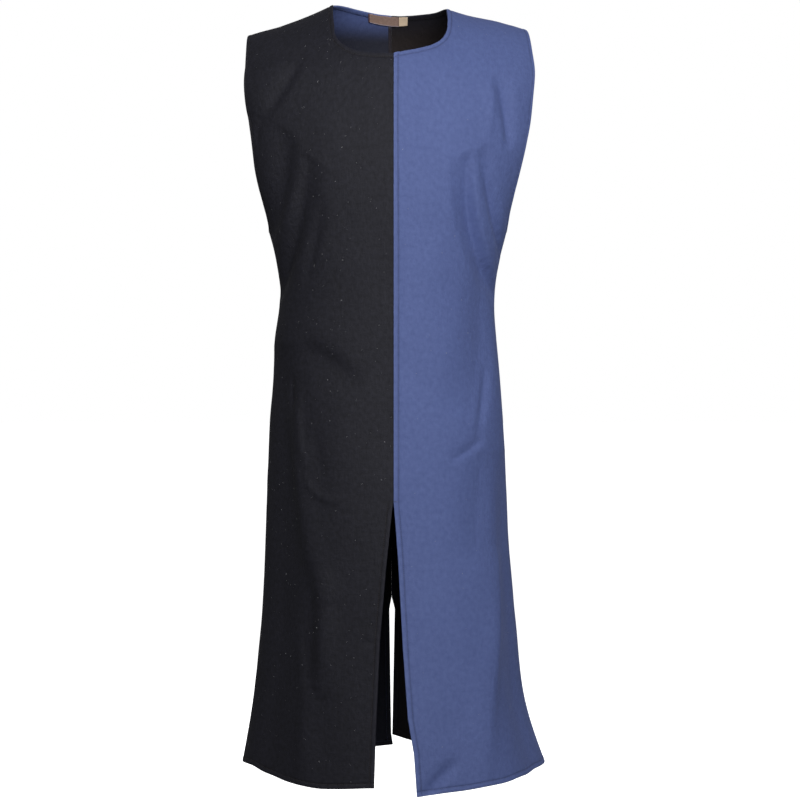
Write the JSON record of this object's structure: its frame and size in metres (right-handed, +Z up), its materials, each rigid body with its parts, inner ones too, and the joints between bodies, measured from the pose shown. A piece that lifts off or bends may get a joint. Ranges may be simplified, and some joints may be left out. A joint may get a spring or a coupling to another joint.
{
  "type": "tabard",
  "caption": "Sleeveless open-sided overgarment in black and blue quarters, with a round neck, deep armholes and slits below the middle seams.",
  "frame": {"origin": "middle of the wearer's shoulders, between the neck points, which is what holds the tabard up", "axes": "+Z up, -Y out of the garment's front, +X towards the wearer's left"},
  "size_m": [0.4646, 0.3322, 1.1707],
  "materials": {
    "black_cloth": "matte cotton canvas",
    "blue_cloth": "matte cotton canvas",
    "label_cloth": "woven ribbon",
    "tab_cloth": "woven ribbon"
  },
  "bodies": {
    "root": {"front_right": "black_cloth", "front_left": "blue_cloth", "back_right": "blue_cloth", "back_left": "black_cloth", "label": "label_cloth", "size_tab": "tab_cloth"}
  },
  "joints": []
}
